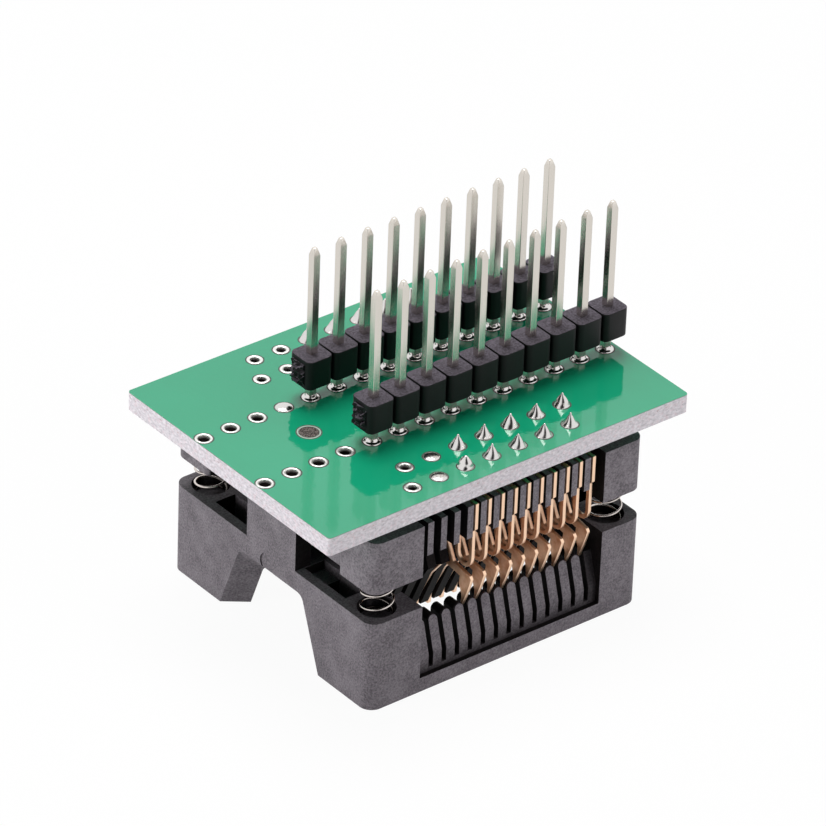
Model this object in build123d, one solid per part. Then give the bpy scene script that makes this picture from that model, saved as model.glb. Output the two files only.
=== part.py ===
from build123d import *
import math
import os

# Adapter board with a sprung open-top socket: a small-outline chip goes into the
# socket from below, and two rows of long pins on top fit a dual-in-line holder.
# Millimetres. X runs along the pin rows, Z points up along the pins, and the
# origin is on the surface the part stands on, under the middle of its outline.

os.makedirs("parts", exist_ok=True)

# Dual-in-line pattern of the board
pin_pitch = 2.54
row_spacing = 7.62
column_count = 14
pin_count = 10
first_column_inset = 0.7
last_column_inset = 1.08

# Circuit board
board_margin = 0.115
board_thickness = 1.6
board_corner = 0.3
pin_hole = 1.0
pin_pad = 1.5
tail_hole = 0.78
tail_pad = 1.3
pad_height = 0.05
hole_sides = 10

# Contact positions of the socket
contact_pitch = 1.27
position_count = 14
contact_count = 10
tail_inset = 1.76
tail_row_gap = 2.54
socket_shift_x = 0.22
socket_shift_y = -0.06

# Pins and their plastic strips
pin_size = 0.64
pin_point = 0.3
pin_point_length = 0.6
pin_stub = 0.1
strip_gap = 1.5
strip_height = 2.5
strip_width = 2.5
strip_notch = 0.42
pin_above_strip = 9.3
snap_depth = 0.35
joint_height = 0.42
joint_top = 0.95
joint_sides = 8

# Sprung cover, the lower moulding
cover_width = 24.92
cover_height = 7.8
cover_corner = 1.1
end_wall = 0.87
tower_length = 4.3
opening_margin = 0.71
end_depth = 3.65
side_depth = 2.51
window_margin_left = -0.52
window_margin_right = 0.34
sill_height = 1.25
sill_wall = 0.43
comb_height = 5.63
comb_knee = 2.75
comb_lean = 0.83
comb_slot = 0.44
comb_floor = 1.6
pocket_floor = 4.6
tongue_pocket_floor = 7.0
tongue_width = 6.06
tongue_wall = 1.5
tongue_height = 5.3
barb_depth = 0.6
barb_height = 0.8

# Grip notch in each end of the cover
notch_half_bottom = 6.2
notch_height = 6.1
notch_slope = 0.376
notch_flare_depth = 1.9
notch_flare_side = 1.45
notch_flare_roof = 1.9
notch_round = 0.8
gate_mark_radius = 0.9
gate_mark_depth = 0.12
gate_mark_side = 0.4
gate_mark_rise = 0.5

# Base, the upper moulding
press_travel = 2.4
stop_clearance = 0.2
base_inset = 0.1
base_height = 4.6
base_corner = 1.0
tower_round = 0.3
recess_step = 0.7
channel_width = 11.2
standoff = 0.9
standoff_radius = 0.8
end_recess_clearance = 0.23
end_skirt = 1.6
slot_clearance = 0.32
fin_width = 0.56
fin_inset = 0.14
fin_drop = 2.9
peg_radius = 0.775
peg_inset = 3.37
peg_clearance = 0.03

# Chip seat that hangs from the base
seat_width = 10.7
seat_floor = 2.2
seat_margin_left = 0.11
seat_margin_right = 0.51
seat_slot = 0.5
seat_slot_depth = 0.45
seat_slot_height = 2.3
rib_foot = 0.25
rib_clearance = 0.45
rib_reach_height = 8.45
rib_flank = 1.2
rib_flank_drop = 0.65
rib_knee = 2.15
rib_knee_height = 6.2
rib_neck = 1.1
rib_shoulder_rise = 1.1
nest_width = 11.7
nest_drop = 1.1
nest_wall = 0.9
nest_clearance = 0.3

# Stamped contact
contact_thickness = 0.3
strip_thickness = 0.35
stem_inset = 0.26
stem_jog = 0.25
stem_top_gap = 0.05
bend_radius = 1.0
bend_steps = 6
beam_width = 0.26
beam_gap = 0.15
lever_reach = 2.0
beak_reach = 0.6
beak_clearance = 0.15
tail_width = 0.3
tail_rise = 0.75

# Solder at the contact tails and in the filled holes
tail_joint_base = 1.2
tail_joint_neck = 0.62
tail_joint_top = 0.24
tail_joint_foot = 0.35
tail_joint_height = 1.15
plug_dome = 0.12

# Coil springs between the two mouldings
spring_outer = 2.7
spring_wire = 0.24
spring_coils = 3.5
spring_steps = 14
spring_end_inset = 2.11
spring_side_inset = 2.06
spring_hole = 3.05
base_spring_depth = 0.8
cover_spring_depth = 1.0

# Levels, from the surface upward
base_bottom = cover_height + press_travel + stop_clearance
base_top = base_bottom + base_height
board_bottom = base_top + standoff
board_top = board_bottom + board_thickness
strip_bottom = board_top + strip_gap
strip_top = strip_bottom + strip_height
pin_tip = strip_top + pin_above_strip
fin_bottom = base_top - fin_drop

# Sizes in plan: the contact pattern sets the opening and seat, and they set the mouldings
contact_span = position_count * contact_pitch
opening_length = contact_span + 2 * opening_margin
cover_length = opening_length + 2 * end_depth
opening_width = cover_width - 2 * side_depth
window_left = contact_span / 2 + window_margin_left
window_right = contact_span / 2 + window_margin_right
seat_end_left = contact_span / 2 + seat_margin_left
seat_end_right = contact_span / 2 + seat_margin_right
half_base_length = cover_length / 2 - base_inset
half_base_width = cover_width / 2 - base_inset
spring_side = cover_length / 2 - spring_end_inset
spring_end = cover_width / 2 - spring_side_inset
peg_side = cover_length / 2 - peg_inset
tail_row_outer = half_base_width - tail_inset
tail_row_inner = tail_row_outer - tail_row_gap
slot_core = tail_row_inner - slot_clearance
board_length = first_column_inset + (column_count - 1) * pin_pitch + last_column_inset
board_width = cover_width + 2 * board_margin

# Places in plan: the last block of the pin strips stands out past the board's end
last_block_end = first_column_inset + (column_count - 0.5) * pin_pitch
strip_overhang = max(0, last_block_end - board_length)
board_x = -strip_overhang / 2
socket_x = board_x + socket_shift_x
first_column_x = board_x - board_length / 2 + first_column_inset
first_pin_column = column_count - pin_count
first_contact = position_count - contact_count
rows = {"front": -1, "back": 1}


def column_x(column):
    """Place of a hole column of the board along X."""
    return first_column_x + column * pin_pitch


def contact_x(position):
    """Place of a contact position along X, seen from the socket's middle."""
    return (position - (position_count - 1) / 2) * contact_pitch


def tail_offset(position, side):
    """Distance of a contact's tail from the socket's middle line: the rows are staggered."""
    outer = position % 2 == (0 if side < 0 else 1)
    return tail_row_outer if outer else tail_row_inner


def block(x_range, y_range, z_range):
    """Square-edged block between two corners."""
    size = [high - low for low, high in (x_range, y_range, z_range)]
    middle = [(high + low) / 2 for low, high in (x_range, y_range, z_range)]
    return Pos(*middle) * Box(*size)


def both_sides(shape):
    """The shape and its mirror image across the middle line of the socket."""
    return shape + mirror(shape, Plane.XZ)


def at_socket(shape):
    """Shape modelled about the socket's middle, moved to its place under the board."""
    return Pos(socket_x, socket_shift_y, 0) * shape


def tapered(outline, height, draw_in):
    """Upright solid on an outline whose sides lean in by one amount over its height."""
    return extrude(outline, height, taper=math.degrees(math.atan2(draw_in, height)))


def drilled(diameter):
    """Outline of a small drilled hole, with few sides because the board has so many."""
    return RegularPolygon(diameter / 2, hole_sides)


def pin_hole_places():
    """Every hole of the dual-in-line pattern: column and place."""
    for side in rows.values():
        for column in range(column_count):
            yield side, column, (column_x(column), side * row_spacing / 2)


def tail_hole_places():
    """Every hole for a contact tail: side, position and place."""
    for side in rows.values():
        for position in range(position_count):
            x = socket_x + contact_x(position)
            y = socket_shift_y + side * tail_offset(position, side)
            yield side, position, (x, y)


def filled_pin_hole(side, column):
    """One empty hole of the back row is filled with solder."""
    return side > 0 and column == first_pin_column - 1


def filled_tail_hole(side, position):
    """Two empty holes of the front row are filled with solder."""
    return side < 0 and position in (first_contact - 2, first_contact - 1)


def make_board():
    """Glass-fibre board with its plated holes and the two holes for the base's pegs."""
    outline = Pos(board_x, 0) * RectangleRounded(board_length, board_width, board_corner)
    holes = [Pos(*place) * drilled(pin_hole) for _, _, place in pin_hole_places()]
    holes += [Pos(*place) * drilled(tail_hole) for _, _, place in tail_hole_places()]
    for end in (-1, 1):
        peg_place = (socket_x + end * peg_side, socket_shift_y)
        holes.append(Pos(*peg_place) * Circle(peg_radius + peg_clearance))
    return Pos(0, 0, board_bottom) * extrude(outline - holes, board_thickness)


def make_hole_rims():
    """Tinned rims that show round the open holes."""
    rims = []
    for side, column, place in pin_hole_places():
        if column < first_pin_column and not filled_pin_hole(side, column):
            rims.append(Pos(*place) * (drilled(pin_pad) - drilled(pin_hole)))
    for side, position, place in tail_hole_places():
        if position < first_contact and not filled_tail_hole(side, position):
            rims.append(Pos(*place) * (drilled(tail_pad) - drilled(tail_hole)))
    return Compound([Pos(0, 0, board_top) * extrude(rim, pad_height) for rim in rims])


def solder_plug(place, hole, pad):
    """Solder that fills one hole and stands proud of its pad as a low dome."""
    dome = tapered(drilled(pad), plug_dome, (pad - hole / 2) / 2)
    stem = extrude(drilled(hole), -board_thickness)
    return Pos(*place, board_top) * (dome + stem)


def make_solder_plugs():
    """The holes that were closed with solder though nothing stands in them."""
    plugs = []
    for side, column, place in pin_hole_places():
        if filled_pin_hole(side, column):
            plugs.append(solder_plug(place, pin_hole, pin_pad))
    for side, position, place in tail_hole_places():
        if filled_tail_hole(side, position):
            plugs.append(solder_plug(place, tail_hole, tail_pad))
    return Compound(plugs)


def make_pin():
    """Square pin with a drawn-in point at each end, standing on the origin's axis."""
    low = board_bottom - pin_stub
    shoulder_low = low + pin_point_length
    shoulder_high = pin_tip - pin_point_length
    square = Rectangle(pin_size, pin_size)
    shank = Pos(0, 0, shoulder_low) * extrude(square, shoulder_high - shoulder_low)
    point = tapered(square, pin_point_length, (pin_size - pin_point) / 2)
    return shank + Pos(0, 0, shoulder_high) * point + Pos(0, 0, shoulder_low) * Rot(180, 0, 0) * point


def make_strip():
    """Breakaway strip of notched blocks, clean at its right end and snapped at its left."""
    half = strip_width / 2
    left = -pin_pitch / 2
    right = left + pin_count * pin_pitch
    body = Pos((left + right) / 2, 0) * Rectangle(right - left, strip_width)
    notch = Rectangle(strip_notch * math.sqrt(2), strip_notch * math.sqrt(2), rotation=45)
    notches = [
        Pos(left + joint * pin_pitch, side * half) * notch
        for joint in range(pin_count + 1)
        for side in (-1, 1)
    ]
    sockets = [Pos(column * pin_pitch, 0) * Rectangle(pin_size, pin_size) for column in range(pin_count)]
    strip = extrude(body - notches - sockets, strip_height)

    # The neck that was snapped leaves a torn slope with a lip at its foot
    neck = half - strip_notch
    tear = Polyline(
        (left - snap_depth, 0),
        (left - snap_depth / 2, strip_height * 0.3),
        (left - snap_depth * 0.8, strip_height * 0.45),
        (left - snap_depth * 0.25, strip_height * 0.85),
        (left, strip_height),
        (left, 0),
        (left - snap_depth, 0),
    )
    lip = extrude(Plane.XZ * make_face(tear), neck, both=True)
    return Pos(0, 0, strip_bottom) * (strip + lip)


def make_pin_joint():
    """Solder collar round one pin, seated on its pad."""
    collar = tapered(RegularPolygon(pin_pad / 2, joint_sides), joint_height, (pin_pad - joint_top) / 2)
    return Pos(0, 0, board_top) * (collar - Box(pin_size, pin_size, 3 * joint_height))


def bend(middle, radius, start_angle, turn):
    """Points round a bend, in a few equal chords: twenty contacts have to stay light."""
    angles = [math.radians(start_angle + turn * step / bend_steps) for step in range(bend_steps + 1)]
    return [(middle[0] + radius * math.cos(angle), middle[1] + radius * math.sin(angle)) for angle in angles]


def contact_outline(tail):
    """Stamped blade in the plane across its row: outward distance and height.

    From the tail it runs out along the base's top, down the outer stem, round a
    U bend, up and over a second bend, and down a beam that ends in two arms: a
    lever under the cover's comb and a beak that holds the chip's lead to its seat.
    """
    half_tail = tail_width / 2
    tail_tip = board_top + tail_rise
    tip_slope = 0.25
    bar_top = base_top - stem_top_gap
    bar_low = bar_top - strip_thickness
    outer = half_base_width + 0.1 - stem_inset
    inner = outer - strip_thickness
    jog_high = fin_bottom + 0.55
    jog_low = jog_high - stem_jog
    low_outer = outer - stem_jog
    low_inner = low_outer - strip_thickness
    leg_inner = low_outer - 2 * bend_radius
    leg_outer = leg_inner + strip_thickness
    u_bend = (low_outer - bend_radius, base_bottom - 0.6)
    over_bend = (leg_outer - bend_radius, fin_bottom - 0.8)
    beam_inner = over_bend[0] - bend_radius
    beam_outer = beam_inner + strip_thickness

    # Hub, lever under the comb, and beak under the edge of the seat
    hub = (leg_inner - beam_gap, cover_height + 0.73)
    beam_middle = ((beam_outer + hub[0]) / 2 - 0.14, (over_bend[1] + hub[1]) / 2)
    lever = [
        (low_outer - 0.17, cover_height + 0.38),
        (low_outer + 0.02, cover_height + 0.14),
        (low_outer - 0.4, cover_height - 1.2),
        (low_outer - 0.95, cover_height - 2.6),
        (low_outer - 1.05, cover_height - 2.5),
        (low_outer - 1.04, cover_height - 1.7),
        (low_outer - 1.4, cover_height - 0.8),
        (low_outer - 1.33, cover_height - 0.1),
    ]
    seat_edge = seat_width / 2
    beak_level = seat_floor - beak_clearance
    beak = [
        (leg_inner - 1.25, cover_height + 0.15),
        (seat_edge + lever_reach - 0.2, cover_height - 1.8),
        (seat_edge + 0.27, seat_floor + 0.8),
        (seat_edge + 0.1, beak_level - 0.22),
        (seat_edge - beak_reach, beak_level - 0.3),
        (seat_edge - beak_reach - 0.03, beak_level),
        (seat_edge - 0.2, beak_level + 0.03),
        (seat_edge - 0.07, seat_floor + 0.85),
        (seat_edge + lever_reach - 0.6, cover_height - 1.7),
        (beam_inner - 0.4, cover_height + 0.15),
        (beam_inner, cover_height + 1.5),
    ]
    outline = [
        (tail - half_tail, bar_low),
        (tail - half_tail, tail_tip - tip_slope),
        (tail - half_tail / 3, tail_tip),
        (tail + half_tail / 3, tail_tip),
        (tail + half_tail, tail_tip - tip_slope),
        (tail + half_tail, bar_top),
        (outer, bar_top),
        (outer, jog_high),
        (low_outer, jog_low),
    ]
    outline += bend(u_bend, bend_radius, 0, -180)
    outline += bend(over_bend, bend_radius - beam_width, 0, 180)
    outline += [beam_middle, hub, *lever, *beak]
    outline += bend(over_bend, bend_radius, 180, -180)
    outline += bend(u_bend, bend_radius - strip_thickness, -180, 180)
    outline += [
        (low_inner, jog_low - 0.05),
        (inner, jog_high - 0.05),
        (inner, bar_low),
        (tail - half_tail, bar_low),
    ]
    return make_face(Polyline(*outline))


def make_contact(position, side):
    """One contact, cut from sheet and standing upright in its slot."""
    across = Plane(
        origin=(socket_x + contact_x(position), socket_shift_y, 0),
        x_dir=(0, side, 0),
        z_dir=(side, 0, 0),
    )
    blade = contact_outline(tail_offset(position, side))
    return extrude(across * blade, contact_thickness / 2, both=True)


def make_tail_joint():
    """Pointed solder fillet that stands on its pad and closes over the tip of one tail."""
    foot = RegularPolygon(tail_joint_base / 2, joint_sides)
    neck = RegularPolygon(tail_joint_neck / 2, joint_sides)
    tip_height = tail_joint_height - tail_joint_foot
    skirt = tapered(foot, tail_joint_foot, (tail_joint_base - tail_joint_neck) / 2)
    tip = tapered(neck, tip_height, (tail_joint_neck - tail_joint_top) / 2)
    fillet_round_tail = skirt + Pos(0, 0, tail_joint_foot) * tip
    return Pos(0, 0, board_top) * (fillet_round_tail - Box(contact_thickness, tail_width, 2 * tail_rise))


def comb_profile():
    """Comb seen from the front: ribs with rounded tops between the contact slots."""
    rib_width = contact_pitch - comb_slot
    last_slot_end = contact_x(position_count - 1) + comb_slot / 2
    foot_bottom = sill_height / 2
    foot = Pos((window_right - window_left) / 2, (comb_floor + foot_bottom) / 2) * Rectangle(
        window_left + window_right, comb_floor - foot_bottom
    )
    end_rib = Pos((last_slot_end + window_right) / 2, (comb_height + foot_bottom) / 2) * Rectangle(
        window_right - last_slot_end, comb_height - foot_bottom
    )
    profile = foot + end_rib
    for position in range(position_count - 1):
        middle = contact_x(position) + contact_pitch / 2
        shaft_height = comb_height - rib_width / 2 - foot_bottom
        profile += Pos(middle, foot_bottom + shaft_height / 2) * Rectangle(rib_width, shaft_height)
        profile += Pos(middle, comb_height - rib_width / 2) * Circle(rib_width / 2)
    return profile


def make_comb():
    """Comb of one long side: upright at its foot, then leaning in over the opening."""
    back = opening_width / 2
    front = cover_width / 2 - sill_wall
    ribs = extrude(Plane.XZ * comb_profile(), -front)
    section = Polyline(
        (back, 0), (front, 0), (front, comb_knee), (front - comb_lean, comb_height + 0.01),
        (back, comb_height + 0.01), (back, 0),
    )
    along = extrude(Plane.YZ * make_face(section), cover_length / 2, both=True)
    return ribs & along


def notch_cut():
    """Funnel-shaped grip notch of one end, with a rounded roof, open at the bottom."""
    face = cover_length / 2
    sections = []
    for depth, side, height in (
        (0, notch_half_bottom, notch_height),
        (notch_flare_depth, notch_half_bottom - notch_flare_side, notch_height - notch_flare_roof),
    ):
        top = side - notch_slope * height
        outline = Polyline((-side, 0), (-top, height), (top, height), (side, 0), (-side, 0))
        section = make_face(outline)
        roof = section.vertices().filter_by_position(Axis.Y, height - 0.01, height + 0.01)
        section = fillet(roof, notch_round)
        sections.append(Plane(origin=(face - depth, 0, 0), x_dir=(0, 1, 0), z_dir=(1, 0, 0)) * section)
    funnel = loft(sections)
    throat = extrude(sections[1], -(face - notch_flare_depth - opening_length / 2))
    return funnel + throat


def make_tongue():
    """Guide tongue of one end, flush with the end wall, with a catch at its top."""
    face = cover_length / 2
    back = face - tongue_wall
    top = cover_height + tongue_height
    barb_low = top - barb_height
    outline = Polyline(
        (face, cover_height - 0.5), (face, top), (back - barb_depth * 0.3, top),
        (back - barb_depth, top - barb_height * 0.4), (back - barb_depth, barb_low),
        (back, barb_low), (back, cover_height - 0.5), (face, cover_height - 0.5),
    )
    return extrude(Plane.XZ * make_face(outline), tongue_width / 2, both=True)


def make_cover():
    """Sprung cover: open frame with four towers, two combs, two tongues and grip notches."""
    half_length = cover_length / 2
    half_width = cover_width / 2
    pocket_side = half_width - tower_length
    cover = extrude(RectangleRounded(cover_length, cover_width, cover_corner), cover_height)
    cover -= Box(opening_length, opening_width, 4 * cover_height)
    above_sill = (sill_height, cover_height + 1)
    window = block((-window_left, window_right), (opening_width / 2 - 1, half_width + 1), above_sill)
    cover -= both_sides(window)
    cover += both_sides(make_comb())

    # Pockets between the towers and the tongue lighten each end
    pocket_x = (opening_length / 2 + end_wall, half_length - end_wall)
    side_pocket = block(pocket_x, (notch_half_bottom - 1.2, pocket_side), (pocket_floor, cover_height + 1))
    shallow = (tongue_pocket_floor, cover_height + 1)
    tongue_pocket = block(pocket_x, (tongue_width / 2 + 0.1, notch_half_bottom), shallow)
    pockets = both_sides(side_pocket + tongue_pocket)
    end_cuts = pockets + notch_cut()
    tongue = make_tongue()
    cover = cover - end_cuts - mirror(end_cuts, Plane.YZ)
    cover = cover + tongue + mirror(tongue, Plane.YZ)

    well = Cylinder(spring_hole / 2, 2 * cover_spring_depth)
    cover -= [
        Pos(end_x * spring_side, end_y * spring_end, cover_height) * well
        for end_x in (-1, 1)
        for end_y in (-1, 1)
    ]
    gate_mark = Rot(0, 90, 0) * Cylinder(gate_mark_radius, 2 * gate_mark_depth)
    cover -= Pos(-half_length, gate_mark_side, notch_height + gate_mark_rise) * gate_mark
    return at_socket(cover)


def make_seat():
    """Chip seat: a block between the contact rows, ribbed so that each contact has its slot."""
    half = seat_width / 2
    reach = opening_width / 2 - rib_clearance
    rib_top = fin_bottom + 0.1
    seat = block((-seat_end_left, seat_end_right), (-half, half), (seat_floor, rib_top))
    profile = Polyline(
        (0, seat_floor),
        (half + rib_foot, seat_floor),
        (reach - rib_knee, rib_knee_height),
        (reach - rib_flank, rib_reach_height - rib_flank_drop),
        (reach, rib_reach_height),
        (reach - rib_neck, base_bottom + rib_shoulder_rise),
        (reach - rib_neck, rib_top),
        (0, rib_top),
        (0, seat_floor),
    )
    ribs = both_sides(extrude(Plane.YZ * make_face(profile), cover_length / 2, both=True))
    ribs &= block((-window_left, window_right), (-half_base_width, half_base_width), (0, base_top))
    for position in range(position_count):
        middle = contact_x(position)
        slot = block(
            (middle - seat_slot / 2, middle + seat_slot / 2),
            (half - seat_slot_depth, half_base_width),
            (seat_floor - 1, rib_top + 1),
        )
        ribs -= both_sides(slot)
    seat += ribs

    # Slots for the beaks, and the end walls that centre the chip
    for position in range(first_contact, position_count):
        middle = contact_x(position)
        slot = block(
            (middle - seat_slot / 2, middle + seat_slot / 2),
            (half - seat_slot_depth, half + 1),
            (seat_floor - 1, seat_floor + seat_slot_height),
        )
        seat -= both_sides(slot)
    first = contact_x(first_contact) - contact_thickness / 2 - nest_clearance
    last = contact_x(position_count - 1) + contact_thickness / 2 + nest_clearance
    for x_range in ((first - nest_wall, first), (last, seat_end_right)):
        wall_top = seat_floor + seat_slot_height
        seat += block(x_range, (-nest_width / 2, nest_width / 2), (seat_floor - nest_drop, wall_top))
    return seat


def base_plan():
    """Outline of the base seen from above: stepped recesses at the ends leave four corner towers."""
    plan = RectangleRounded(2 * half_base_length, 2 * half_base_width, base_corner)
    tower_side = half_base_width + base_inset - tower_length
    channel_face = cover_length / 2 - tongue_wall - end_recess_clearance
    for face, side in ((half_base_length - recess_step, tower_side), (channel_face, channel_width / 2)):
        for end in (-1, 1):
            plan -= Pos(end * (face + cover_length / 4), 0) * Rectangle(cover_length / 2, 2 * side)
    tower_edges = [
        corner
        for corner in plan.vertices()
        if abs(abs(corner.X) - half_base_length) < 0.01 and abs(abs(corner.Y) - tower_side) < 0.01
    ]
    return fillet(tower_edges, tower_round)


def make_base():
    """Base: frame with four corner towers, two rows of fins and the hanging chip seat."""
    plan = base_plan()
    base = Pos(0, 0, base_bottom) * extrude(plan, base_height)
    end_face = cover_length / 2 - tongue_wall - end_recess_clearance
    contact_side = (slot_core, half_base_width + 1)
    slots = block((-window_left, window_right), contact_side, (base_bottom - 1, base_top + 1))
    base -= both_sides(slots)
    under = block(
        (end_skirt - end_face, end_face - end_skirt),
        (-slot_core - 0.01, slot_core + 0.01),
        (base_bottom - 1, fin_bottom),
    )
    base -= under

    # Groove above each catch, in which the tongue's barb rides up
    groove_half = tongue_width / 2 + stop_clearance
    catch_level = cover_height + tongue_height - barb_height - 0.1
    for end in (-1, 1):
        groove_x = sorted((end * (end_face - barb_depth), end * (end_face + 1)))
        base -= block(groove_x, (-groove_half, groove_half), (catch_level, base_top + 1))

    for position in range(position_count - 1):
        middle = contact_x(position) + contact_pitch / 2
        fin = block(
            (middle - fin_width / 2, middle + fin_width / 2),
            (slot_core - 0.5, half_base_width - fin_inset),
            (fin_bottom, base_top),
        )
        base += both_sides(fin)
    base += make_seat()

    wells = Cylinder(spring_hole / 2, 2 * base_spring_depth)
    pads = Pos(0, 0, base_top + standoff / 2) * Cylinder(standoff_radius, standoff)
    for end_x in (-1, 1):
        for end_y in (-1, 1):
            base -= Pos(end_x * spring_side, end_y * spring_end, base_bottom) * wells
            base += Pos(end_x * spring_side, end_y * spring_end, 0) * pads
    peg_height = standoff + board_thickness
    peg = Pos(0, 0, base_top + peg_height / 2) * Cylinder(peg_radius, peg_height)
    for end in (-1, 1):
        base += Pos(end * peg_side, 0, 0) * peg
    return at_socket(base)


def make_spring():
    """Round-wire coil spring, standing in the well of a cover tower."""
    low = cover_height - cover_spring_depth
    high = base_bottom + base_spring_depth
    height = high - low - spring_wire
    radius = (spring_outer - spring_wire) / 2
    step_count = round(spring_coils * spring_steps)
    turned = [2 * math.pi * spring_coils * step / step_count for step in range(step_count + 1)]
    climb = height / turned[-1]
    path = Polyline(*[(radius * math.cos(angle), radius * math.sin(angle), climb * angle) for angle in turned])
    section = Plane(origin=path @ 0, z_dir=path % 0) * RegularPolygon(spring_wire / 2, 5)
    coil = sweep(section, path, transition=Transition.RIGHT)
    return Pos(0, 0, low + spring_wire / 2) * coil


def export(name, shape):
    """Write one named piece."""
    export_step(shape, f"parts/{name}.step")


export("circuit_board", make_board())
export("hole_rims", make_hole_rims())
export("solder_plugs", make_solder_plugs())
export("socket_base", make_base())
export("socket_cover", make_cover())

pin = make_pin()
strip = make_strip()
pin_joint = make_pin_joint()
tail_joint = make_tail_joint()
for row, side in rows.items():
    y = side * row_spacing / 2
    export(f"pin_strip_{row}", Pos(column_x(first_pin_column), y, 0) * strip)
    pin_places = [(column_x(first_pin_column + count), y, 0) for count in range(pin_count)]
    export(f"pin_joints_{row}", Compound([Pos(*place) * pin_joint for place in pin_places]))
    for count, place in enumerate(pin_places):
        export(f"pin_{row}_{count + 1:02d}", Pos(*place) * pin)

    tail_joints = []
    for count in range(contact_count):
        position = first_contact + count
        export(f"contact_{row}_{count + 1:02d}", make_contact(position, side))
        place = (socket_x + contact_x(position), socket_shift_y + side * tail_offset(position, side), 0)
        tail_joints.append(Pos(*place) * tail_joint)
    export(f"tail_joints_{row}", Compound(tail_joints))

spring = make_spring()
for end_name, end_x in (("left", -1), ("right", 1)):
    for row, end_y in rows.items():
        place = (end_x * spring_side, end_y * spring_end, 0)
        export(f"spring_{end_name}_{row}", at_socket(Pos(*place) * spring))
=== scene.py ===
import math
import random

import bmesh
import bpy
from mathutils import Matrix, Vector, noise


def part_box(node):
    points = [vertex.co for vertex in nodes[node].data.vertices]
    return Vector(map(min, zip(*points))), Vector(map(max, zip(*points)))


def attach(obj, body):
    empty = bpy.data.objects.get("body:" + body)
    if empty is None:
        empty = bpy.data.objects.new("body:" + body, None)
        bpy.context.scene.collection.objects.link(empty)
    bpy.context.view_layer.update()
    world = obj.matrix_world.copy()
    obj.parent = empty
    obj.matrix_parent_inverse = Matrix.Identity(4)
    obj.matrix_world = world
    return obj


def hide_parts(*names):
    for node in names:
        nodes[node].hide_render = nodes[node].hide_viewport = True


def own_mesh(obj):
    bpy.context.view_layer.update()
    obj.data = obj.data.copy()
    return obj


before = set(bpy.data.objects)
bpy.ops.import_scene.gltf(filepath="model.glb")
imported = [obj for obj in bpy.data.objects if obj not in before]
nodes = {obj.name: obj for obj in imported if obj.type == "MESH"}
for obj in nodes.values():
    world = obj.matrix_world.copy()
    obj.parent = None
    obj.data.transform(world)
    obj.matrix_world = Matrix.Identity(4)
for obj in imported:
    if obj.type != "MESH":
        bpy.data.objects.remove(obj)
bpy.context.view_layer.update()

mm = 0.001


# Camera: a long lens at the photograph's place, high to the left of the pins. Place, tilt and
# lens are fitted to where the holes and the pins stand in the photograph.
camera_target = Vector((-0.295, -0.01, 17.5)) * mm
camera_azimuth = math.radians(-39.44)
camera_elevation = math.radians(32.32)
camera_roll = math.radians(2.2)
camera_distance = 538.5 * mm
camera_shift_right = 0.478 * mm
camera_shift_up = -1.508 * mm
focal_length = 307.3
sensor_width = 36

turn = (
    Matrix.Rotation(camera_azimuth, 3, "Z")
    @ Matrix.Rotation(math.pi / 2 - camera_elevation, 3, "X")
    @ Matrix.Rotation(camera_roll, 3, "Z")
)
offset = turn @ Vector((camera_shift_right, camera_shift_up, camera_distance))
camera = bpy.data.objects.new("camera", bpy.data.cameras.new("camera"))
camera.data.lens = focal_length
camera.data.sensor_width = sensor_width
camera.matrix_world = Matrix.Translation(camera_target + offset) @ turn.to_4x4()
bpy.context.scene.collection.objects.link(camera)
bpy.context.scene.camera = camera
bpy.context.scene.view_settings.view_transform = "Standard"


# Studio: white paper under the part and a white room round it, as in a product photograph. Two
# low soft lamps stand left and right of the camera, whose own side of the room is dark, and a
# large one hangs above.
def paint(code):
    """Linear colour of a paint given as an sRGB hex code."""
    channels = [int(code[at:at + 2], 16) / 255 for at in (1, 3, 5)]
    linear = [c / 12.92 if c <= 0.04045 else ((c + 0.055) / 1.055) ** 2.4 for c in channels]
    return (*linear, 1.0)


def add(tree, kind, inputs=(), stops=(), **settings):
    """Adds one node with its settings, and a value or another node's output on each named input.

    A colour ramp's two stops are given as (position, paint code) pairs.
    """
    made = tree.nodes.new(kind)
    for setting, value in settings.items():
        setattr(made, setting, value)
    for name, value in dict(inputs).items():
        if isinstance(value, bpy.types.Node):
            value = value.outputs[0]
        if isinstance(value, bpy.types.NodeSocket):
            tree.links.new(value, made.inputs[name])
        else:
            made.inputs[name].default_value = value
    for number, (position, code) in enumerate(stops):
        made.color_ramp.elements[number].position = position
        made.color_ramp.elements[number].color = paint(code)
    return made


def new_material(name):
    """An empty node material, ready for its own nodes."""
    material = bpy.data.materials.new(name)
    material.use_nodes = True
    material.node_tree.nodes.clear()
    return material, material.node_tree


white = paint("#FFFFFF")
ambient_level = 0.12
mirrored_level = 1.15
dark_side = turn @ Vector((0, 0, 1))
dark_side_inner = math.cos(math.radians(17))
dark_side_outer = math.cos(math.radians(32))

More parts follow.
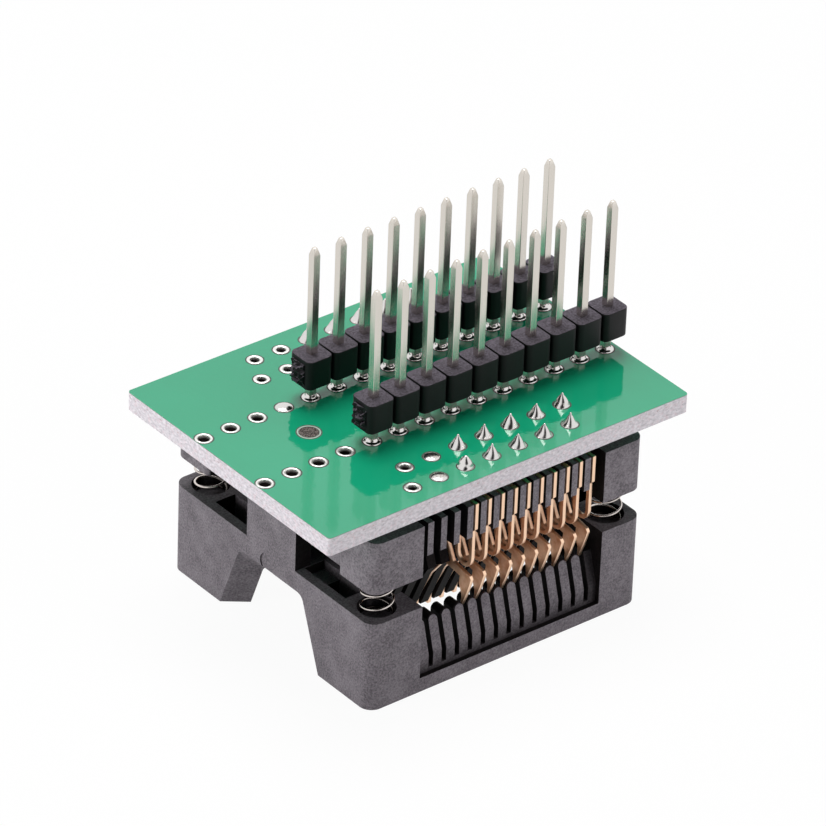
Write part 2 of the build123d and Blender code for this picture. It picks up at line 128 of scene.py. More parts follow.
world = bpy.data.worlds.new("studio")
world.use_nodes = True
bpy.context.scene.world = world
tree = world.node_tree
tree.nodes.clear()
direction = add(tree, "ShaderNodeTexCoord").outputs["Generated"]
facing = add(tree, "ShaderNodeVectorMath", {0: direction, 1: dark_side}, operation="DOT_PRODUCT")
shade = add(tree, "ShaderNodeMapRange", {
    "Value": facing.outputs["Value"], "From Min": dark_side_outer, "From Max": dark_side_inner,
})
room = add(tree, "ShaderNodeMix", {"Factor": shade.outputs[0], "A": white, "B": paint("#303030")},
           data_type="RGBA")
rays = add(tree, "ShaderNodeLightPath")
ambient = add(tree, "ShaderNodeBackground", {"Color": white, "Strength": ambient_level})
mirrored = add(tree, "ShaderNodeBackground", {"Color": room.outputs["Result"], "Strength": mirrored_level})
backdrop = add(tree, "ShaderNodeBackground", {"Color": white, "Strength": 1.0})
lighting = add(tree, "ShaderNodeMixShader", {0: rays.outputs["Is Glossy Ray"], 1: ambient, 2: mirrored})
surroundings = add(tree, "ShaderNodeMixShader", {0: rays.outputs["Is Camera Ray"], 1: lighting, 2: backdrop})
add(tree, "ShaderNodeOutputWorld", {"Surface": surroundings})

# The paper takes the part's shadow, and its glow keeps it as white as the room
floor_half = 400 * mm
floor_drop = 0.05 * mm
paper_glow_share = 0.95
floor_mesh = bpy.data.meshes.new("floor")
floor_corners = [(x * floor_half, y * floor_half, 0) for x, y in ((-1, -1), (1, -1), (1, 1), (-1, 1))]
floor_mesh.from_pydata(floor_corners, [], [(0, 1, 2, 3)])
floor = bpy.data.objects.new("floor", floor_mesh)
floor.location.z = -floor_drop
bpy.context.scene.collection.objects.link(floor)
paper, tree = new_material("white_paper")
rays = add(tree, "ShaderNodeLightPath")
seen = add(tree, "ShaderNodeMath", {0: rays.outputs["Is Camera Ray"], 1: rays.outputs["Is Glossy Ray"]},
           operation="MAXIMUM")
glow_share = add(tree, "ShaderNodeMath", {0: seen, 1: paper_glow_share}, operation="MULTIPLY")
matt = add(tree, "ShaderNodeBsdfDiffuse", {"Color": paint("#F2F2F2")})
glow = add(tree, "ShaderNodeEmission", {"Color": white, "Strength": 1.0})
sheet = add(tree, "ShaderNodeMixShader", {0: glow_share, 1: matt, 2: glow})
# From below the paper is left out, so that the underside of the part can be looked at
surface = add(tree, "ShaderNodeNewGeometry")
nothing = add(tree, "ShaderNodeBsdfTransparent")
sheet = add(tree, "ShaderNodeMixShader", {0: surface.outputs["Backfacing"], 1: sheet, 2: nothing})
add(tree, "ShaderNodeOutputMaterial", {"Surface": sheet})
floor_mesh.materials.append(paper)

# Places and sizes are in millimetres and powers in watts. Only the top lamp is mirrored in the
# part: the low ones would burn out the glossy board where it is seen against their light.
for name, stand, size, power in (
    ("left_light", (-340, 60, 60), 180, 1.05),
    ("right_light", (200, -310, 80), 180, 0.75),
    ("top_light", (40, 120, 430), 260, 1.6),
):
    lamp = bpy.data.objects.new(name, bpy.data.lights.new(name, "AREA"))
    lamp.data.size = size * mm
    lamp.data.energy = power
    lamp.location = Vector(stand) * mm
    lamp.rotation_euler = (Vector(stand) * mm - camera_target).to_track_quat("Z", "Y").to_euler()
    lamp.visible_glossy = name == "top_light"
    bpy.context.scene.collection.objects.link(lamp)


# Circuit board: glass-fibre laminate, 1.6 mm thick, under a glossy green solder mask. The mask
# stops short of each tinned pad, and the sawn edges show the bare fibre. Pads are given by radii.
pitch = 2.54 * mm
pin_columns = 14
first_column = -16.795 * mm
pin_row = 3.81 * mm
pin_pad = 0.7 * mm
socket_x = 0.125 * mm
socket_y = -0.06 * mm
contact_pitch = 1.27 * mm
contact_positions = 14
tail_rows = (8.06 * mm, 10.6 * mm)
tail_pad = 0.65 * mm
bare_ring = 0.1 * mm
peg_reach = 9.88 * mm
peg_drilled = 0.93 * mm
peg_bare = 1.03 * mm
board_low, board_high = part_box("circuit_board")

mask, tree = new_material("solder_mask_on_fr4")
place = add(tree, "ShaderNodeTexCoord").outputs["Object"]
split_place = add(tree, "ShaderNodeSeparateXYZ", {"Vector": place})
surface = add(tree, "ShaderNodeNewGeometry")
split_normal = add(tree, "ShaderNodeSeparateXYZ", {"Vector": surface.outputs["Normal"]})
upright = add(tree, "ShaderNodeMath", {0: split_normal.outputs["Z"]}, operation="ABSOLUTE")
is_face = add(tree, "ShaderNodeMath", {0: upright, 1: 0.5}, operation="GREATER_THAN")

# Distance to the edge of the nearest pad: below 0 is tin, and round it runs a ring of laminate.
# The pads of a row repeat, so one distance folded to their pitch serves the whole row.
pad_rows = [(first_column, side * pin_row, pin_pad, pin_columns) for side in (-1, 1)]
for side in (-1, 1):
    for outer, tail_row in enumerate(tail_rows):
        first_position = 0 if outer == (side < 0) else 1
        start = socket_x + (first_position - (contact_positions - 1) / 2) * contact_pitch
        pad_rows.append((start, socket_y + side * tail_row, tail_pad, contact_positions // 2))
pad_edge = None
for start, row_y, pad, pads in pad_rows:
    row_half = pads * pitch / 2
    from_start = add(tree, "ShaderNodeMath", {0: split_place.outputs["X"], 1: start - pitch / 2},
                     operation="SUBTRACT")
    folded = add(tree, "ShaderNodeMath", {0: from_start, 1: pitch}, operation="FLOORED_MODULO")
    along = add(tree, "ShaderNodeMath", {0: folded, 1: pitch / 2}, operation="SUBTRACT")
    from_middle = add(tree, "ShaderNodeMath", {0: from_start, 1: row_half}, operation="SUBTRACT")
    from_middle = add(tree, "ShaderNodeMath", {0: from_middle}, operation="ABSOLUTE")
    past_row = add(tree, "ShaderNodeMath", {0: from_middle, 1: row_half}, operation="GREATER_THAN")
    across = add(tree, "ShaderNodeMath", {0: split_place.outputs["Y"], 1: row_y}, operation="SUBTRACT")
    in_plane = add(tree, "ShaderNodeCombineXYZ", {"X": along, "Y": across})
    radial = add(tree, "ShaderNodeVectorMath", {0: in_plane}, operation="LENGTH")
    edge = add(tree, "ShaderNodeMath", {0: radial.outputs["Value"], 1: pad}, operation="SUBTRACT")
    edge = add(tree, "ShaderNodeMath", {0: edge, 1: past_row}, operation="ADD")
    if pad_edge is None:
        pad_edge = edge
    else:
        pad_edge = add(tree, "ShaderNodeMath", {0: pad_edge, 1: edge}, operation="MINIMUM")
is_pad = add(tree, "ShaderNodeMath", {0: pad_edge, 1: 0.0}, operation="LESS_THAN")
is_bare = add(tree, "ShaderNodeMath", {0: pad_edge, 1: bare_ring}, operation="LESS_THAN")

# Round the two locating pegs of the socket the laminate is bare too, and the drill left it pale
in_plane = add(tree, "ShaderNodeCombineXYZ", {"X": split_place.outputs["X"], "Y": split_place.outputs["Y"]})
is_drilled = 0.0
for side in (-1, 1):
    peg = (socket_x + side * peg_reach, socket_y, 0)
    radial = add(tree, "ShaderNodeVectorMath", {0: in_plane, 1: peg}, operation="DISTANCE").outputs["Value"]
    near = add(tree, "ShaderNodeMath", {0: radial, 1: peg_bare}, operation="LESS_THAN")
    is_bare = add(tree, "ShaderNodeMath", {0: is_bare, 1: near}, operation="MAXIMUM")
    drilled = add(tree, "ShaderNodeMath", {0: radial, 1: peg_drilled}, operation="LESS_THAN")
    is_drilled = add(tree, "ShaderNodeMath", {0: is_drilled, 1: drilled}, operation="MAXIMUM")

# The lacquer's tone drifts a little over 7 mm, and the laminate shows its fibres, 0.2 mm apart
drift = add(tree, "ShaderNodeTexNoise", {"Vector": place, "Scale": 1 / (7 * mm), "Detail": 3.0})
green = add(tree, "ShaderNodeValToRGB", {"Fac": drift.outputs["Fac"]}, stops=((0, "#149D72"), (1, "#19A87D")))
fibres = add(tree, "ShaderNodeTexNoise", {"Vector": place, "Scale": 1 / (0.2 * mm), "Detail": 2.0})
laminate = add(tree, "ShaderNodeValToRGB", {"Fac": fibres.outputs["Fac"]},
               stops=((0, "#17231C"), (1, "#3B4B40")))
bare = add(tree, "ShaderNodeMix", {"Factor": is_drilled, "A": laminate, "B": paint("#AFC2B4")},
           data_type="RGBA")
face_colour = add(tree, "ShaderNodeMix", {"Factor": is_bare, "A": green, "B": bare.outputs["Result"]},
                  data_type="RGBA")

# The sawn edge: pale glass fibre, blotched along the cloth, with pink spots of resin and dark
# pits. A broken reddish line runs under the mask, where the saw met the copper.
copper_line_height = 0.4 * mm
copper_line_half = 0.05 * mm
mask_height = 0.73 * mm
blotch_place = add(tree, "ShaderNodeMapping", {
    "Vector": place, "Scale": (1 / (0.35 * mm), 1 / (0.35 * mm), 1 / (0.2 * mm)),
})
blotches = add(tree, "ShaderNodeTexNoise", {
    "Vector": blotch_place, "Scale": 1.0, "Detail": 4.0, "Roughness": 0.6,
})
sawn = add(tree, "ShaderNodeValToRGB", {"Fac": blotches.outputs["Fac"]},
           stops=((0.33, "#B0ABB2"), (0.65, "#DAD5DA")))
resin = add(tree, "ShaderNodeTexNoise", {"Vector": place, "Scale": 1 / (0.3 * mm), "Detail": 2.0})
resin_share = add(tree, "ShaderNodeMapRange", {
    "Value": resin.outputs["Fac"], "From Min": 0.52, "From Max": 0.68, "To Max": 0.35,
})
pits = add(tree, "ShaderNodeTexNoise", {"Vector": place, "Scale": 1 / (0.14 * mm), "Detail": 1.0})
pit_share = add(tree, "ShaderNodeMapRange", {
    "Value": pits.outputs["Fac"], "From Min": 0.68, "From Max": 0.76, "To Max": 0.6,
})
board_middle = (board_low.z + board_high.z) / 2
height = add(tree, "ShaderNodeMath", {0: split_place.outputs["Z"], 1: board_middle}, operation="SUBTRACT")
from_line = add(tree, "ShaderNodeMath", {0: height, 1: copper_line_height}, operation="SUBTRACT")
from_line = add(tree, "ShaderNodeMath", {0: from_line}, operation="ABSOLUTE")
on_line = add(tree, "ShaderNodeMath", {0: from_line, 1: copper_line_half}, operation="LESS_THAN")
breaks = add(tree, "ShaderNodeTexNoise", {"Vector": place, "Scale": 1 / (0.45 * mm), "Detail": 2.0})
unbroken = add(tree, "ShaderNodeMapRange", {
    "Value": breaks.outputs["Fac"], "From Min": 0.55, "From Max": 0.65, "To Max": 0.5,
})
copper_share = add(tree, "ShaderNodeMath", {0: on_line, 1: unbroken.outputs[0]}, operation="MULTIPLY")
in_mask = add(tree, "ShaderNodeMath", {0: height, 1: mask_height}, operation="GREATER_THAN")
edge_colour = sawn
for share, code in (
    (resin_share, "#D2B4BA"),
    (pit_share, "#5E5057"),
    (copper_share, "#95565A"),
    (in_mask, "#6F9482"),
):
    edge_colour = add(tree, "ShaderNodeMix", {"Factor": share, "A": edge_colour, "B": paint(code)},
                      data_type="RGBA").outputs["Result"]
colour = add(tree, "ShaderNodeMix", {"Factor": is_face, "A": edge_colour, "B": face_colour.outputs["Result"]},
             data_type="RGBA")
matt_share = add(tree, "ShaderNodeMath", {0: 1.0, 1: is_face}, operation="SUBTRACT")
matt_share = add(tree, "ShaderNodeMath", {0: matt_share, 1: is_bare}, operation="MAXIMUM")
gloss = add(tree, "ShaderNodeMapRange", {"Value": matt_share, "To Min": 0.045, "To Max": 0.7})

# Under the mask the weave of the glass cloth, 0.45 mm from thread to thread, ripples the gloss
weave = add(tree, "ShaderNodeTexNoise", {"Vector": place, "Scale": 1 / (0.45 * mm), "Detail": 2.0})
ripple = add(tree, "ShaderNodeBump", {
    "Height": weave.outputs["Fac"], "Strength": 0.12, "Distance": 0.05 * mm,
})
lacquer = add(tree, "ShaderNodeBsdfPrincipled", {
    "Base Color": colour.outputs["Result"], "Roughness": gloss.outputs[0], "IOR": 1.6, "Normal": ripple,
})
tinned = add(tree, "ShaderNodeBsdfPrincipled", {
    "Base Color": paint("#D8D6D2"), "Metallic": 1.0, "Roughness": 0.25,
})
pad_here = add(tree, "ShaderNodeMath", {0: is_pad, 1: is_face}, operation="MULTIPLY")
finish = add(tree, "ShaderNodeMixShader", {0: pad_here, 1: lacquer, 2: tinned})
add(tree, "ShaderNodeOutputMaterial", {"Surface": finish})
nodes["circuit_board"].data.materials.clear()
nodes["circuit_board"].data.materials.append(mask)


# Hole rims: each open hole is plated through with copper and tinned, so a bright rim stands
# on the mask and rounds over into the barrel of the hole, which is dull further down.
def turn_profile(shape, profile, middle, sides, closed=False, swell=None):
    """Adds a profile of (radius, height) pairs, turned about the upright line through middle, to the mesh."""
    loops = []
    for radius, height in profile:
        if radius == 0:
            loops.append([shape.verts.new(middle + Vector((0, 0, height)))])
            continue
        loop = []
        for step in range(sides):
            angle = 2 * math.pi * step / sides
            grown = radius * (swell(angle, height) if swell else 1)
            spoke = Vector((math.cos(angle), math.sin(angle), 0)) * grown
            loop.append(shape.verts.new(middle + spoke + Vector((0, 0, height))))
        loops.append(loop)
    pairs = list(zip(loops, loops[1:]))
    if closed:
        pairs.append((loops[-1], loops[0]))
    for lower, upper in pairs:
        for step in range(sides):
            after = (step + 1) % sides
            corners = [lower[step % len(lower)], lower[after % len(lower)],
                       upper[after % len(upper)], upper[step % len(upper)]]
            shape.faces.new(list(dict.fromkeys(corners)))


def finished(shape, name, material, body, stands_for):
    """Makes a piece of a mesh: smooth, in its material, riding on its body and standing for its node."""
    bmesh.ops.recalc_face_normals(shape, faces=shape.faces)
    mesh = bpy.data.meshes.new(name)
    shape.to_mesh(mesh)
    shape.free()
    mesh.shade_smooth()
    mesh.materials.append(material)
    piece = bpy.data.objects.new(name, mesh)
    bpy.context.scene.collection.objects.link(piece)
    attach(piece, body)
    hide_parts(stands_for)
    return piece


# The plating lies in waves 0.35 mm long, and from just below the rim its tin is painted dark, as painted
# shade down the hole
plated_tin, tree = new_material("tinned_copper_plating")
place = add(tree, "ShaderNodeTexCoord").outputs["Object"]
split_place = add(tree, "ShaderNodeSeparateXYZ", {"Vector": place})
waves = add(tree, "ShaderNodeTexNoise", {"Vector": place, "Scale": 1 / (0.35 * mm), "Detail": 3.0})
bump = add(tree, "ShaderNodeBump", {"Height": waves.outputs["Fac"], "Strength": 0.35, "Distance": 0.06 * mm})
dull_from = board_high.z - 0.15 * mm
barrel_shaded_from = board_high.z - 0.06 * mm
barrel_shaded_below = board_high.z - 0.3 * mm
shine = add(tree, "ShaderNodeMapRange", {
    "Value": split_place.outputs["Z"], "From Min": board_high.z, "From Max": dull_from,
    "To Min": 0.3, "To Max": 0.6,
})
deep = add(tree, "ShaderNodeMapRange", {
    "Value": split_place.outputs["Z"], "From Min": barrel_shaded_from, "From Max": barrel_shaded_below,
})
barrel_shade = add(tree, "ShaderNodeMix", {
    "Factor": deep.outputs[0], "A": paint("#DEDCD9"), "B": paint("#3D3534"),
}, data_type="RGBA")
plating = add(tree, "ShaderNodeBsdfPrincipled", {
    "Base Color": barrel_shade.outputs["Result"], "Metallic": 1.0, "Roughness": shine.outputs[0], "Normal": bump,
})
add(tree, "ShaderNodeOutputMaterial", {"Surface": plating})

# Bores are given by their radii too
round_sides = 40
pin_bore = 0.5 * mm
tail_bore = 0.39 * mm
barrel_share = 0.94
plating_skin = 0.03 * mm
plating_end = board_low.z - board_high.z + 0.02 * mm
first_used = 4
pin_holes = {}
tail_holes = {}
for side, row in ((-1, "front"), (1, "back")):
    pin_holes[row] = [
        Vector((first_column + column * pitch, side * pin_row, board_high.z)) for column in range(pin_columns)
    ]
    tail_holes[row] = []
    for position in range(contact_positions):
        outer = (position % 2 == 0) == (side < 0)
        x = socket_x + (position - (contact_positions - 1) / 2) * contact_pitch
        tail_holes[row].append(Vector((x, socket_y + side * tail_rows[outer], board_high.z)))
soldered_shut = [pin_holes["back"][3], tail_holes["front"][2], tail_holes["front"][3]]

rims = bmesh.new()
for holes, bore, pad in ((pin_holes, pin_bore, pin_pad), (tail_holes, tail_bore, tail_pad)):
    barrel = barrel_share * bore
    profile = [
        (pad, -0.01 * mm), (pad - 0.01 * mm, 0.025 * mm), (pad - 0.05 * mm, 0.045 * mm),
        ((pad + bore) / 2, 0.05 * mm), (bore + 0.05 * mm, 0.04 * mm), (bore, 0.0), (barrel, -0.08 * mm),
        (barrel, plating_end), (bore + plating_skin, plating_end), (bore + plating_skin, -0.05 * mm),
    ]
    for row in ("front", "back"):
        for hole in holes[row][:first_used]:
            if hole not in soldered_shut:
                turn_profile(rims, profile, hole, round_sides, closed=True)
finished(rims, "tinned_rims", plated_tin, "adapter", "hole_rims")


# Solder: tin alloy, melted and set, so it is bright and mirrors in soft waves about 0.4 mm
# long. Three empty holes are closed with a low dome of it.
solder, tree = new_material("set_tin_solder")
place = add(tree, "ShaderNodeTexCoord").outputs["Object"]
waves = add(tree, "ShaderNodeTexNoise", {"Vector": place, "Scale": 1 / (0.4 * mm), "Detail": 3.0})
bump = add(tree, "ShaderNodeBump", {"Height": waves.outputs["Fac"], "Strength": 0.06, "Distance": 0.08 * mm})
shine = add(tree, "ShaderNodeMapRange", {"Value": waves.outputs["Fac"], "To Min": 0.08, "To Max": 0.26})
set_tin = add(tree, "ShaderNodeBsdfPrincipled", {
    "Base Color": paint("#D2CFCD"), "Metallic": 1.0, "Roughness": shine.outputs[0], "Normal": bump,
})
add(tree, "ShaderNodeOutputMaterial", {"Surface": set_tin})

chance = random.Random(7)


def uneven(share):
    """A slightly uneven outline, as a drop of solder has: two waves round it, different for each joint."""
    first_turn = chance.uniform(0, 2 * math.pi)
    second_turn = chance.uniform(0, 2 * math.pi)
    return lambda angle, height: (
        1 + share * math.sin(angle + first_turn) + share / 2 * math.sin(3 * angle + second_turn)
    )


plug_depth = 0.2 * mm
dome_height = 0.16 * mm
dome_steps = 6
dome_sides = 32
plugs = bmesh.new()
for hole in soldered_shut:
    pad = pin_pad if hole in pin_holes["back"] else tail_pad
    profile = [(0, -plug_depth), (pad, -plug_depth), (pad, 0.0)]
    for step in range(1, dome_steps):
        rise = math.pi / 2 * step / dome_steps
        profile.append((pad * math.cos(rise), dome_height * math.sin(rise)))
    profile.append((0, dome_height))
    turn_profile(plugs, profile, hole, dome_sides, swell=uneven(0.02))
finished(plugs, "solder_domes", solder, "adapter", "solder_plugs")


# Pin joints: a low collar of the same solder on each pin's pad. It spreads over the pad and is
# drawn up a little round the square pin, so its flank is hollow.
joint_root = 0.05 * mm
# Radius and height of each point of the flank, in millimetres
collar_flank = ((0.62, 0.08), (0.56, 0.1), (0.5, 0.13), (0.45, 0.18), (0.41, 0.25))
collar_neck = 0.34 * mm
for row in ("front", "back"):
    collars = bmesh.new()
    for hole in pin_holes[row][first_used:]:
        climb = chance.uniform(0.34, 0.42) * mm
        profile = [(0, -joint_root), (pin_pad, -joint_root), (pin_pad, 0.01 * mm)]
        profile.append((pin_pad - 0.03 * mm, 0.05 * mm))
        profile += [(radius * mm, height * mm) for radius, height in collar_flank]
        profile += [(collar_neck + 0.03 * mm, climb - 0.02 * mm), (collar_neck, climb), (0, climb)]
        turn_profile(collars, profile, hole, round_sides, swell=uneven(0.012))
    finished(collars, f"solder_collars_{row}", solder, "adapter", f"pin_joints_{row}")


# Tail joints: the contact tails stand in tents of solder that close over their tips. The tails
# are flat, so each tent is a little longer one way. The first of the front row is blunt.
def draped(stretch):
    """Outline of solder hung on a flat blade: longer along the blade the higher it climbs, and uneven."""
    along = math.pi / 2 + chance.uniform(-0.5, 0.5)
    full_height = 0.4 * mm
    rough_outline = uneven(0.035)
    return lambda angle, height: rough_outline(angle, height) * (
        1 + stretch * min(height / full_height, 1) * math.cos(2 * (angle - along))
    )


# The skirt's radii and heights are in millimetres, and the peak's radii are shares of its girth
tent_skirt = ((0.58, 0.13), (0.51, 0.24))
tent_peak = ((1.0, 0.5), (0.78, 0.64), (0.5, 0.79), (0.26, 0.9))
for row in ("front", "back"):
    tents = bmesh.new()
    for number, hole in enumerate(tail_holes[row][first_used:]):
        blunt = row == "front" and number == 0
        tip = (0.96 if blunt else chance.uniform(1.0, 1.12)) * mm
        girth = (0.42 if blunt else chance.uniform(0.35, 0.39)) * mm
        profile = [(0, -joint_root), (tail_pad, -joint_root), (tail_pad, 0.01 * mm)]
        profile.append((tail_pad - 0.03 * mm, 0.06 * mm))
        profile += [(radius * mm, height * mm) for radius, height in tent_skirt]
        profile.append((girth + 0.08 * mm, 0.36 * mm))
        profile += [(share * girth, height * mm) for share, height in tent_peak]
        profile += [(0.2 * girth, tip - 0.03 * mm), (0, tip)]
        turn_profile(tents, profile, hole, round_sides, swell=draped(0.14))
    finished(tents, f"solder_tents_{row}", solder, "adapter", f"tail_joints_{row}")


# Header pins: square brass wire, drawn, tin-plated and pinched to a point. Fine marks from the
# drawing run up the wire and break its shine; they are drawn 0.1 mm wide, coarser than real.
plated, tree = new_material("tin_plated_wire")
place = add(tree, "ShaderNodeTexCoord").outputs["Object"]
drawn_place = add(tree, "ShaderNodeMapping", {
    "Vector": place, "Scale": (1 / (0.1 * mm), 1 / (0.1 * mm), 1 / (5 * mm)),
})
drawn = add(tree, "ShaderNodeTexNoise", {"Vector": drawn_place, "Scale": 1.0, "Detail": 3.0})
shine = add(tree, "ShaderNodeMapRange", {"Value": drawn.outputs["Fac"], "To Min": 0.12, "To Max": 0.32})
tin_wire = add(tree, "ShaderNodeBsdfPrincipled", {
    "Base Color": paint("#D6D0C8"), "Metallic": 1.0, "Roughness": shine.outputs[0],
})
add(tree, "ShaderNodeOutputMaterial", {"Surface": tin_wire})


def dress(name, material, round_over):
    """Gives a solid its material, and rounds its edges over so that they catch the light.

    Its facets are joined first, so that only real edges, those over 35 degrees, are rounded.
    """
    solid = nodes[name]
    solid.data.materials.clear()
    solid.data.materials.append(material)
    solid.data.shade_smooth()
    weld = solid.modifiers.new("weld", "WELD")
    weld.merge_threshold = 0.002 * mm
    flat = solid.modifiers.new("flat", "DECIMATE")
    flat.decimate_type = "DISSOLVE"
    flat.angle_limit = math.radians(1)
    edges = solid.modifiers.new("edges", "BEVEL")
    edges.width = round_over
    edges.segments = 2
    edges.limit_method = "ANGLE"
    edges.angle_limit = math.radians(35)
    edges.harden_normals = False
    normals = solid.modifiers.new("normals", "WEIGHTED_NORMAL")
    normals.keep_sharp = True


for name in nodes:
    if name.startswith(("pin_front_", "pin_back_")):
        dress(name, plated, 0.04 * mm)


# Pin strips: black glass-filled nylon, moulded as one long strip of blocks joined by thin necks
# and pushed down the pins. Snapping it to length left a torn, crumbly face at the left end.
nylon, tree = new_material("moulded_nylon")
place = add(tree, "ShaderNodeTexCoord").outputs["Object"]
surface = add(tree, "ShaderNodeNewGeometry")
split_normal = add(tree, "ShaderNodeSeparateXYZ", {"Vector": surface.outputs["Normal"]})
# The sides are painted near black, as painted shade, and the rougher tops grey, partly as painted
# light from above. The grain is drawn coarser than the real one, at 0.14 mm, so that it shows.
grain = add(tree, "ShaderNodeTexNoise", {
    "Vector": place, "Scale": 1 / (0.14 * mm), "Detail": 4.0, "Roughness": 0.65,
})
lit_rough_top = add(tree, "ShaderNodeValToRGB", {"Fac": grain.outputs["Fac"]},
                stops=((0.35, "#3A353B"), (0.65, "#66606A")))
facing_up = add(tree, "ShaderNodeMapRange", {
    "Value": split_normal.outputs["Z"], "From Min": 0.4, "From Max": 0.9,
})
tone = add(tree, "ShaderNodeMix", {"Factor": facing_up.outputs[0], "A": paint("#0F0D0F"), "B": lit_rough_top},
           data_type="RGBA")
gloss = add(tree, "ShaderNodeMapRange", {"Value": facing_up.outputs[0], "To Min": 0.45, "To Max": 0.75})
bump = add(tree, "ShaderNodeBump", {"Height": grain.outputs["Fac"], "Strength": 0.4, "Distance": 0.02 * mm})
moulded = add(tree, "ShaderNodeBsdfPrincipled", {
    "Base Color": tone.outputs["Result"], "Roughness": gloss.outputs[0], "IOR": 1.3, "Normal": bump,
})
add(tree, "ShaderNodeOutputMaterial", {"Surface": moulded})


def skin(shape, loops):
    """Joins loops of points into one closed solid with flat ends."""
    rings = [[shape.verts.new(point) for point in loop] for loop in loops]
    for lower, upper in zip(rings, rings[1:]):
        for step in range(len(lower)):
            after = (step + 1) % len(lower)
            shape.faces.new((lower[step], lower[after], upper[after], upper[step]))
    shape.faces.new(rings[0])
    shape.faces.new(rings[-1])


def rounded_loop(middle, half_x, half_y, radius, height, steps=5):
    """Points of a level rectangle's outline with rounded corners, at one height."""
    points = []
    for quarter, (side_x, side_y) in enumerate(((1, 1), (-1, 1), (-1, -1), (1, -1))):
        for step in range(steps + 1):
            angle = math.pi / 2 * (quarter + step / steps)
            points.append(Vector((
                middle.x + side_x * (half_x - radius) + radius * math.cos(angle),
                middle.y + side_y * (half_y - radius) + radius * math.sin(angle),
                height,
            )))
    return points


block_half = 1.2 * mm
strip_half = 1.25 * mm
block_corner = 0.5 * mm
# Inset and height of a block's outlines, in millimetres, from the strip's foot and from its head
block_foot = ((0.05, 0.0), (0.0, 0.06))
block_head = ((0.0, -0.07), (0.02, -0.02), (0.07, 0.0))
neck_length_half = 0.2 * mm
neck_half = 0.7 * mm
neck_corner = 0.05 * mm
neck_lift = 0.05 * mm
neck_drop = 0.3 * mm
tear_depth = 0.5 * mm
tear_root = 0.1 * mm
tear_levels = 12
tear_columns = 10
# Where the torn face starts and how far it goes up, as shares of the strip's height
tear_start = 0.1
tear_share = 0.75
large_crumb = 0.4 * mm
small_crumb = 0.15 * mm
# What the torn face's bulge and its crumbs add to its depth, and the small crumbs to the large
bulge_share = 0.7
crumb_share = 0.9
small_crumb_share = 0.8
for row in ("front", "back"):
    low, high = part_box(f"pin_strip_{row}")
    strip = bmesh.new()
    for number, hole in enumerate(pin_holes[row][first_used:]):
        outlines = [(inset * mm, low.z + lift * mm) for inset, lift in block_foot]
        outlines += [(inset * mm, high.z + lift * mm) for inset, lift in block_head]
        skin(strip, [
            rounded_loop(hole, block_half - inset, strip_half - inset, block_corner - inset, level)
            for inset, level in outlines
        ])
        if number:
            neck = Vector((hole.x - pitch / 2, hole.y, 0))
            skin(strip, [rounded_loop(neck, neck_length_half, neck_half, neck_corner, level)
                         for level in (low.z + neck_lift, high.z - neck_drop)])

    # The snapped neck: crumbs of every size stand out of the torn face
    snapped = pin_holes[row][first_used]
    face = snapped.x - block_half
    torn_loops = []
    for step in range(tear_levels + 1):
        level = low.z + (tear_start + tear_share * step / tear_levels) * (high.z - low.z)
        loop = [Vector((face + tear_root, snapped.y + side * neck_half, level)) for side in (1, -1)]
        for column in range(tear_columns + 1):
            y = snapped.y + (2 * column / tear_columns - 1) * neck_half
            crumb = noise.noise(Vector((0, y, level)) / large_crumb)
            crumb += small_crumb_share * noise.noise(Vector((5, y, level)) / small_crumb)
            bulge = math.sin(math.pi * (step + 1) / (tear_levels + 2))
            bulge *= math.sin(math.pi * (column + 1) / (tear_columns + 2))
            out = min(max(bulge_share * bulge + crumb_share * crumb, 0.02), 1.0) * tear_depth
            loop.append(Vector((face - out, y + 0.08 * mm * crumb, level + 0.1 * mm * crumb)))
        torn_loops.append(loop)
    skin(strip, torn_loops)
    piece = finished(strip, f"snapped_header_{row}", nylon, "adapter", f"pin_strip_{row}")
    piece.data.set_sharp_from_angle(angle=math.radians(20))


# Socket mouldings: black glass-filled thermoplastic. The outer walls come from a finely eroded
# mould, and fibres near the surface give them a grey bloom full of small light specks. Walls
# that face inwards are painted near black instead, as painted shade, and the ends of the pegs
# are coarse and dark.
# Between the two values of each pair, a distance from the socket's middle or a height, the bloom
# comes or goes
end_walls_reach = (10.0 * mm, 11.0 * mm)
long_walls_reach = (10.0 * mm, 10.6 * mm)
window_reach = (12.1 * mm, 12.3 * mm)
end_ribs_reach = (8.3 * mm, 8.5 * mm)
comb_feet = (1.2 * mm, 3.2 * mm)
comb_heads = (6 * mm, 7 * mm)
peg_ends = board_low.z + 0.2 * mm
fibre_filled, tree = new_material("glass_filled_thermoplastic")
place = add(tree, "ShaderNodeTexCoord").outputs["Object"]
split_place = add(tree, "ShaderNodeSeparateXYZ", {"Vector": place})
surface = add(tree, "ShaderNodeNewGeometry")
split_normal = add(tree, "ShaderNodeSeparateXYZ", {"Vector": surface.outputs["Normal"]})
reaches = {}
outer_walls = {}
for axis, middle, (inner, outer) in (("X", socket_x, end_walls_reach), ("Y", socket_y, long_walls_reach)):
    from_middle = add(tree, "ShaderNodeMath", {0: split_place.outputs[axis], 1: middle}, operation="SUBTRACT")
    reaches[axis] = add(tree, "ShaderNodeMath", {0: from_middle}, operation="ABSOLUTE")
    far_out = add(tree, "ShaderNodeMapRange", {"Value": reaches[axis], "From Min": inner, "From Max": outer})
    side = add(tree, "ShaderNodeMath", {0: from_middle}, operation="SIGN")
    outwards = add(tree, "ShaderNodeMath", {0: split_normal.outputs[axis], 1: side}, operation="MULTIPLY")
    facing_out = add(tree, "ShaderNodeMapRange", {"Value": outwards, "From Min": 0.1, "From Max": 0.4})
    outer_walls[axis] = add(tree, "ShaderNodeMath", {0: far_out, 1: facing_out}, operation="MULTIPLY")
